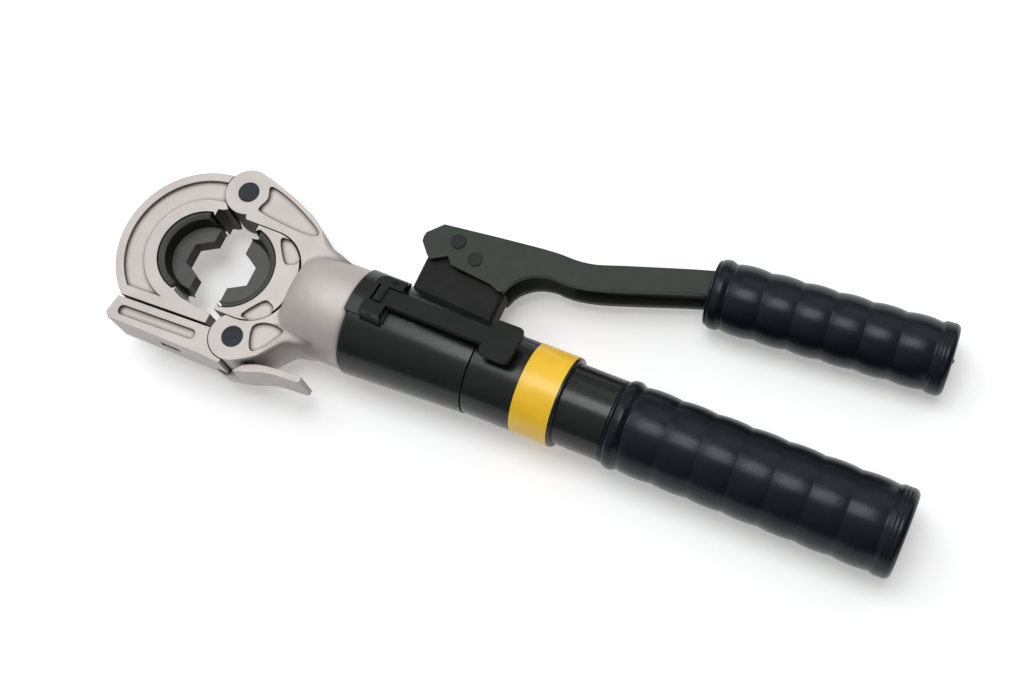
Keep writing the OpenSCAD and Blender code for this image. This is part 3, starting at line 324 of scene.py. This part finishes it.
def die_steel(name, centre):
    """Dark steel with painted shade, set by distance from the die's axis: black and dark grey on the walls
    and edge, a lighter bevel between.
    """
    paint = Paint(name).set(Metallic=0.6, Specular_IOR_Level=0.15).rounded(0.3 * MM)
    cloud = paint.noise(90.0, 5.0)
    grain = paint.noise(1200.0, 2.0)
    steel = paint.ramp(cloud, ((0.3, (0.055, 0.0545, 0.054)), (0.7, (0.072, 0.071, 0.07))))
    # Painted shade: walls and the edge are painted black and dark grey by radius, the bevel lighter
    black, wall = (0.006, 0.006, 0.006), (0.034, 0.034, 0.03)
    bevel, rim = (0.10, 0.10, 0.09), (0.045, 0.046, 0.041)
    shade = paint.ramp(paint.between(paint.radius(centre), 0.0, 1.0, DIE_SHADES_FROM, DIE_SHADES_TO), (
        (0.35, black), (0.45, wall), (0.70, wall), (0.715, bevel),
        (0.83, bevel), (0.85, rim), (0.92, rim), (0.95, black)))
    flat = paint.between(paint.size("Z", paint.outward), 0.0, 1.0, 0.45, 0.9)
    high = paint.between(paint.size("Z"), 0.0, 1.0, DIE_WEB_FROM, DIE_WEB_TO)
    paint.colour(paint.mixed(high, paint.mixed(flat, shade, steel), shade))
    return paint.rough(grain, 0.36, 0.46).bump((grain, 0.02 * MM), (cloud, 0.1 * MM)).material


def rubber(name, dark, light, low, high):
    paint = Paint(name).set(Specular_IOR_Level=0.24, Specular_Tint=(0.84, 0.92, 1.0, 1.0))
    cloud = paint.noise(70.0, 4.0)
    pebble = paint.cells(1500.0)
    paint.colour(paint.ramp(cloud, ((0.3, dark), (0.7, light))))
    return paint.rough(cloud, low, high).bump((pebble, 0.02 * MM), (cloud, 0.15 * MM)).material


def yellow_film():
    paint = Paint("yellow_film").set(Coat_Weight=0.3, Coat_Roughness=0.2)
    cloud = paint.noise(120.0, 3.0)
    paint.colour(paint.ramp(cloud, ((0.3, (0.82, 0.48, 0.009)), (0.7, (0.86, 0.53, 0.014)))))
    return paint.rough(cloud, 0.32, 0.42).bump((cloud, 0.05 * MM)).material


MATERIALS = {
    "satin_nickel": satin_nickel("satin_nickel"),
    "blued_pin": dark_metal("blued_pin", (0.015, 0.019, 0.024), (0.024, 0.029, 0.036),
                            (0.36, 0.48), 1400.0, 0.02 * MM, 0.5, 0.2),
    "die_steel": die_steel("die_steel", 0.0),
    "bright_steel": dark_metal("bright_steel", (0.5, 0.5, 0.5), (0.6, 0.6, 0.6),
                               (0.18, 0.3), 1600.0, 0.01 * MM, 1.0),
    "dark_steel": dark_metal("dark_steel", (0.007, 0.0085, 0.0075), (0.012, 0.0135, 0.0125),
                             (0.4, 0.54), 1400.0, 0.02 * MM, 0.4, 0.3),
    "seal_rubber": rubber("seal_rubber", (0.01, 0.01, 0.01), (0.016, 0.016, 0.016), 0.5, 0.6),
    "black_paint": dark_metal("black_paint", (0.005, 0.0062, 0.0062), (0.0085, 0.0098, 0.0098),
                              (0.18, 0.28), 900.0, 0.02 * MM, 0.0, 0.34),
    "olive_paint": dark_metal("olive_paint", (0.0165, 0.0235, 0.0165), (0.024, 0.032, 0.024),
                              (0.5, 0.6), 1100.0, 0.025 * MM, 0.0, 0.3),
    "grip_rubber": rubber("grip_rubber", (0.0035, 0.0045, 0.008), (0.0055, 0.007, 0.0115), 0.23, 0.31),
    "yellow_film": yellow_film(),
    "brass": dark_metal("brass", (0.55, 0.36, 0.12), (0.65, 0.45, 0.17),
                        (0.22, 0.34), 1500.0, 0.01 * MM, 1.0),
}

# Nodes whose finish differs from the rest of their slot
OWN_FINISH = {
    "head_body": satin_nickel("satin_nickel_neck", True),
    "ram_die": die_steel("die_steel_ram", RAM_OPENING),
    "pump_block": dark_metal("block_paint", (0.010, 0.010, 0.0098), (0.015, 0.015, 0.0148),
                             (0.5, 0.6), 900.0, 0.02 * MM, 0.0, 0.12),
    "release_lever": dark_metal("release_paint", (0.009, 0.0115, 0.0098), (0.014, 0.017, 0.015),
                                (0.45, 0.55), 1100.0, 0.025 * MM, 0.0, 0.16),
}


def dress_nodes():
    """Gives each CAD node its own finish, or that of its slot."""
    slots = {row["node"]: row["material_slot"] for row in frame["record"]["subparts"]}
    for name, node in NODES.items():
        node.data.materials.clear()
        node.data.materials.append(OWN_FINISH.get(name, MATERIALS[slots[name]]))


# Pieces

def link_piece(name, mesh, slot, node):
    """Puts a finished mesh in the scene in place of a CAD node."""
    piece = bpy.data.objects.new(name, mesh)
    bpy.context.scene.collection.objects.link(piece)
    mesh.materials.clear()
    mesh.materials.append(OWN_FINISH.get(node, MATERIALS[slot]))
    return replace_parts(piece, node)


def ring(shape, station, width, height, sides):
    """Points round X at a station, or one point where the ring has no width."""
    angles = [2 * math.pi * k / sides for k in range(sides if width > 0 else 1)]
    return [shape.verts.new((station, width * math.cos(a), height * math.sin(a))) for a in angles]


def bridge(shape, first, second):
    """Faces between two rings of points; either ring may be one point."""
    sides = max(len(first), len(second))
    for k in range(sides):
        n = (k + 1) % sides
        corners = (first[k % len(first)], second[k % len(second)],
                   second[n % len(second)], first[n % len(first)])
        shape.faces.new(list(dict.fromkeys(corners)))


def as_mesh(shape, name):
    """Smooth mesh of a finished shape, which is freed."""
    bmesh.ops.recalc_face_normals(shape, faces=shape.faces)
    for face in shape.faces:
        face.smooth = True
    mesh = bpy.data.meshes.new(name)
    shape.to_mesh(mesh)
    shape.free()
    return mesh


def creases(profile, limit=math.radians(14)):
    """Places in a profile where it turns too sharply to be shaded smooth."""
    headings = [math.atan2(b[1] - a[1], b[0] - a[0]) for a, b in zip(profile, profile[1:])]
    turns = [abs((b - a + math.pi) % (2 * math.pi) - math.pi) for a, b in zip(headings, headings[1:])]
    return [k + 1 for k, turn in enumerate(turns) if turn > limit]


def lathed(name, profile, place, sides=96):
    """Mesh turned about X from (station, radius) pairs, smooth except at its creases, then put in place."""
    shape = bmesh.new()
    rings = [ring(shape, station, radius, radius, sides) for station, radius in profile]
    for first, second in zip(rings, rings[1:]):
        bridge(shape, first, second)
    for k in creases(profile):
        for edge in {e for v in rings[k] for e in v.link_edges if e.other_vert(v) in rings[k]}:
            edge.smooth = False
    mesh = as_mesh(shape, name)
    mesh.transform(place)
    return mesh


def bead(start, length, base, height, steps=18, power=2.6):
    """Rounded raised ring as (station, radius) pairs."""
    rows = []
    for k in range(steps + 1):
        u = -math.cos(math.pi * k / steps)
        rise = (1 - abs(u) ** power) ** (1 / power)
        rows.append((start + length * (1 + u) / 2, base + height * rise))
    return rows


def swells(start, pitch, count, radius, height, steps=20):
    """Row of barrel swells with softened valleys between them."""
    rows = []
    for k in range(count * steps + 1):
        u = 2 * (k % steps) / steps - 1
        rows.append((start + pitch * k / steps, radius + height * (1 - abs(u) ** 2.2)))
    return rows


def with_rings(profile, stations, depth, width):
    """Cuts fine ring lines into a profile."""
    rows = []
    for station, radius in profile:
        cut = sum(math.exp(-(((station - s) / width) ** 2)) for s in stations)
        rows.append((station, radius - depth * cut))
    return rows


def flange(start, length, base, height, corner, steps=24):
    """Thick end of a sleeve: a soft rise, a flat and a rounded corner."""
    rows = []
    for k in range(1, steps + 1):
        along = (length - corner) * k / steps
        u = min(1.0, along / (0.3 * length))
        rows.append((start + along, base + height * u * u * (3 - 2 * u)))
    for k in range(1, steps + 1):
        turn = math.pi / 2 * k / steps
        left, fall = corner * (1 - math.sin(turn)), corner * (1 - math.cos(turn))
        rows.append((start + length - left, base + height - fall))
    return rows


def mouth_ring(start, length, base, height, steps=32):
    """Thick ring at a sleeve's mouth: a round front that runs softly out behind."""
    rows = []
    for k in range(1, steps + 1):
        u = -math.cos(math.pi * k / steps)
        rise = math.sqrt(1 - u * u) if u < 0 else math.cos(math.pi / 2 * u) ** 2
        rows.append((start + length * (1 + u) / 2, base + height * rise))
    return rows


def grip_profile(length, radius, count, swell, front, end, collar, nub=0.0):
    """Rubber sleeve from its mouth at 0 to its closed end; swells and end rise to radius + swell."""
    pitch = (length - front - end) / count
    lip = 0.18 * front
    floor = length - GRIP_DISH
    profile = [(GRIP_DISH, 0.55 * radius), (0.0, 0.8 * radius), (0.0, radius - LIP_DEPTH - GRIP_STEP)]
    profile += bead(0.0, lip, radius - LIP_DEPTH, LIP_HEIGHT)[1:-1]
    profile += mouth_ring(lip, front - lip, radius - GRIP_STEP, collar + GRIP_STEP)
    profile += swells(front, pitch, count, radius, swell)[1:]
    profile += flange(length - end, end, radius, swell + GRIP_STEP, 0.33 * end)
    profile = with_rings(profile, (length - 0.62 * end, length - 0.42 * end), END_RING_DEPTH, END_RING_WIDTH)
    profile += [(length, 0.8 * radius), (length - 0.75 * GRIP_DISH, 0.6 * radius), (floor, nub)]
    if nub:
        turns = [math.pi / 2 * k / 8 for k in range(1, 8)]
        profile += [(floor + nub * math.sin(a), nub * math.cos(a)) for a in turns]
        profile += [(floor + nub, 0.0)]
    return profile


def make_grips():
    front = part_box("main_grip")[0].x
    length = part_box("main_grip")[1].x - front
    mesh = lathed("main_grip_sleeve", grip_profile(length, **MAIN_GRIP), Matrix.Translation((front, 0, 0)))
    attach(link_piece("main_grip_sleeve", mesh, "grip_rubber", "main_grip"), "pump_body")
    place = Matrix.Translation(LEVER_GRIP_PLACE) @ Matrix.Rotation(LEVER_GRIP_TURN, 4, "Z")
    mesh = lathed("lever_grip_sleeve", grip_profile(LEVER_GRIP_LENGTH, **LEVER_GRIP), place)
    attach(link_piece("lever_grip_sleeve", mesh, "grip_rubber", "lever_grip"), "lever")


def neck_front(sides=128, steps=24):
    """Ring that carries the neck forward, a little narrower and lower there, to a step."""
    shape = bmesh.new()
    rings = []
    for k in range(steps + 1):
        t = k / steps
        share = (1 - t) ** NECK_POWER
        width, height = NECK_R - NECK_NARROWING * share, NECK_R - NECK_DROP * share
        rings.append(ring(shape, NECK_FRONT + (NECK_BACK - NECK_FRONT) * t, width, height, sides))
    inside = ((NECK_BACK, BORE_R), (BORE_START, BORE_R), (MOUTH_END, MOUTH_R), (NECK_FRONT, MOUTH_R))
    rings += [ring(shape, station, radius, radius, sides) for station, radius in inside]
    for first, second in zip(rings, rings[1:] + rings[:1]):
        bridge(shape, first, second)
    return as_mesh(shape, "neck_front")


def union(first, second):
    """Shape of two meshes joined, with doubled points merged."""
    whole, other = [bpy.data.objects.new(mesh.name, mesh) for mesh in (first, second)]
    for part in (whole, other):
        bpy.context.scene.collection.objects.link(part)
    weld = whole.modifiers.new("weld", "WELD")
    weld.merge_threshold = WELD
    join = whole.modifiers.new("join", "BOOLEAN")
    join.operation = "UNION"
    join.solver = "EXACT"
    join.object = other
    joined = whole.evaluated_get(bpy.context.evaluated_depsgraph_get()).data
    shape = bmesh.new()
    spots = [shape.verts.new(vertex.co) for vertex in joined.vertices]
    for face in joined.polygons:
        shape.faces.new([spots[k] for k in face.vertices])
    bmesh.ops.remove_doubles(shape, verts=shape.verts, dist=WELD)
    for part in (whole, other):
        bpy.data.objects.remove(part)
    return shape


def make_head():
    """The head with its neck carried forward to the step behind the die holder."""
    mesh = as_mesh(union(NODES["head_body"].data.copy(), neck_front()), "head_forging")
    mesh.set_sharp_from_angle(angle=HEAD_CREASE)
    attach(link_piece("head_forging", mesh, "satin_nickel", "head_body"), "head")


def coil(name, low, high, mean, wire, curls, steps=24, sides=10):
    """Mesh of round wire wound about the line from low to high."""
    turn = (high - low).to_track_quat("Z", "Y").to_matrix()
    rise = ((high - low).length - 2 * wire) / (curls * steps)
    corners = [2 * math.pi * k / sides for k in range(sides)]
    shape = bmesh.new()
    rings = []
    for k in range(int(curls * steps) + 1):
        angle = 2 * math.pi * k / steps
        outward = Vector((math.cos(angle), math.sin(angle), 0))
        middle = outward * mean + Vector((0, 0, wire + rise * k))
        spots = [middle + wire * (outward * math.cos(a) + Vector((0, 0, math.sin(a)))) for a in corners]
        rings.append([shape.verts.new(low + turn @ spot) for spot in spots])
    for first, second in zip(rings, rings[1:]):
        bridge(shape, first, second)
    shape.faces.new(rings[0])
    shape.faces.new(rings[-1])
    return as_mesh(shape, name)


def make_springs():
    """Coils of round wire in place of the springs between the two bodies they press apart."""
    for node, (fixed, moving, neighbour, axis, mean, wire, curls) in SPRINGS.items():
        axis = Vector(axis).normalized()
        reaches = [axis.dot(vertex.co) for vertex in NODES[node].data.vertices]
        low, high = axis * min(reaches), axis * max(reaches)
        if neighbour:
            first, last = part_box(neighbour)
            low.x = high.x = (first.x + last.x) / 2
        mesh = coil(node + "_coil", low, high, mean * MM, wire * MM, curls)
        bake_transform(link_piece(node + "_coil", mesh, "dark_steel", node))


# Stage, light and camera

def facing(place, back, up):
    right = up.cross(back).normalized()
    true_up = back.cross(right)
    turn = Matrix((right, true_up, back)).transposed().to_4x4()
    turn.translation = place
    return turn


def make_camera():
    data = bpy.data.cameras.new("camera")
    data.lens = CAMERA_LENS
    data.sensor_width = CAMERA_SENSOR
    camera = bpy.data.objects.new("camera", data)
    bpy.context.scene.collection.objects.link(camera)
    camera.matrix_world = facing(CAMERA_PLACE, CAMERA_BACK, CAMERA_UP)
    bpy.context.scene.camera = camera


def floor_up():
    first, second, third = REST_POINTS
    normal = (second - first).cross(third - first).normalized()
    return normal if normal.z > 0 else -normal


def seen_light(nodes, links):
    """1 for rays from the camera, a gloss or a clear surface."""
    path = nodes.new("ShaderNodeLightPath")
    first = nodes.new("ShaderNodeMath")
    first.operation = "MAXIMUM"
    links.new(path.outputs["Is Camera Ray"], first.inputs[0])
    links.new(path.outputs["Is Glossy Ray"], first.inputs[1])
    second = nodes.new("ShaderNodeMath")
    second.operation = "MAXIMUM"
    links.new(first.outputs[0], second.inputs[0])
    links.new(path.outputs["Is Transmission Ray"], second.inputs[1])
    return second.outputs[0]


def make_floor():
    mesh = bpy.data.meshes.new("floor")
    corners = [(x * FLOOR_HALF, y * FLOOR_HALF, 0) for x, y in ((-1, -1), (1, -1), (1, 1), (-1, 1))]
    mesh.from_pydata(corners, [], [(0, 1, 2, 3)])
    floor = bpy.data.objects.new("floor", mesh)
    bpy.context.scene.collection.objects.link(floor)
    floor.matrix_world = facing(REST_POINTS[0], floor_up(), Vector((0, 1, 0)))
    material = bpy.data.materials.new("floor")
    material.use_nodes = True
    nodes, links = material.node_tree.nodes, material.node_tree.links
    nodes.clear()
    matt = nodes.new("ShaderNodeBsdfDiffuse")
    matt.inputs["Color"].default_value = FLOOR_COLOUR
    glow = nodes.new("ShaderNodeEmission")
    glow.inputs["Color"].default_value = FLOOR_GLOW
    links.new(seen_light(nodes, links), glow.inputs["Strength"])
    both = nodes.new("ShaderNodeAddShader")
    links.new(matt.outputs[0], both.inputs[0])
    links.new(glow.outputs[0], both.inputs[1])
    out = nodes.new("ShaderNodeOutputMaterial")
    links.new(both.outputs[0], out.inputs["Surface"])
    mesh.materials.append(material)


def make_world():
    """White behind the tool; a soft light that grows towards SKY."""
    world = bpy.data.worlds.new("world")
    bpy.context.scene.world = world
    world.use_nodes = True
    nodes, links = world.node_tree.nodes, world.node_tree.links
    nodes.clear()
    towards = nodes.new("ShaderNodeVectorMath")
    towards.operation = "DOT_PRODUCT"
    towards.inputs[1].default_value = SKY
    links.new(nodes.new("ShaderNodeTexCoord").outputs["Generated"], towards.inputs[0])
    rise = nodes.new("ShaderNodeMapRange")
    rise.inputs["From Min"].default_value = SKY_START
    rise.inputs["To Min"].default_value = SKY_DARK
    rise.inputs["To Max"].default_value = SKY_LIGHT
    links.new(towards.outputs["Value"], rise.inputs["Value"])
    soft = nodes.new("ShaderNodeBackground")
    soft.inputs["Color"].default_value = WHITE
    links.new(rise.outputs["Result"], soft.inputs["Strength"])
    white = nodes.new("ShaderNodeBackground")
    white.inputs["Color"].default_value = WHITE
    white.inputs["Strength"].default_value = 1.0
    path = nodes.new("ShaderNodeLightPath")
    choose = nodes.new("ShaderNodeMixShader")
    links.new(path.outputs["Is Camera Ray"], choose.inputs[0])
    links.new(soft.outputs[0], choose.inputs[1])
    links.new(white.outputs[0], choose.inputs[2])
    out = nodes.new("ShaderNodeOutputWorld")
    links.new(choose.outputs[0], out.inputs["Surface"])


def soft_box(name, place, width, height, power):
    data = bpy.data.lights.new(name, "AREA")
    data.shape = "RECTANGLE"
    data.size = width
    data.size_y = height
    data.energy = power
    lamp = bpy.data.objects.new(name, data)
    bpy.context.scene.collection.objects.link(lamp)
    place = Vector(place)
    lamp.matrix_world = facing(place, (place - LAMP_AIM).normalized(), Vector((0, 1, 0)))


def main():
    bpy.context.scene.view_settings.view_transform = "Standard"
    make_camera()
    make_world()
    for name, values in LAMPS.items():
        soft_box(name, *values)
    make_floor()
    dress_nodes()
    make_head()
    make_grips()
    make_springs()


main()
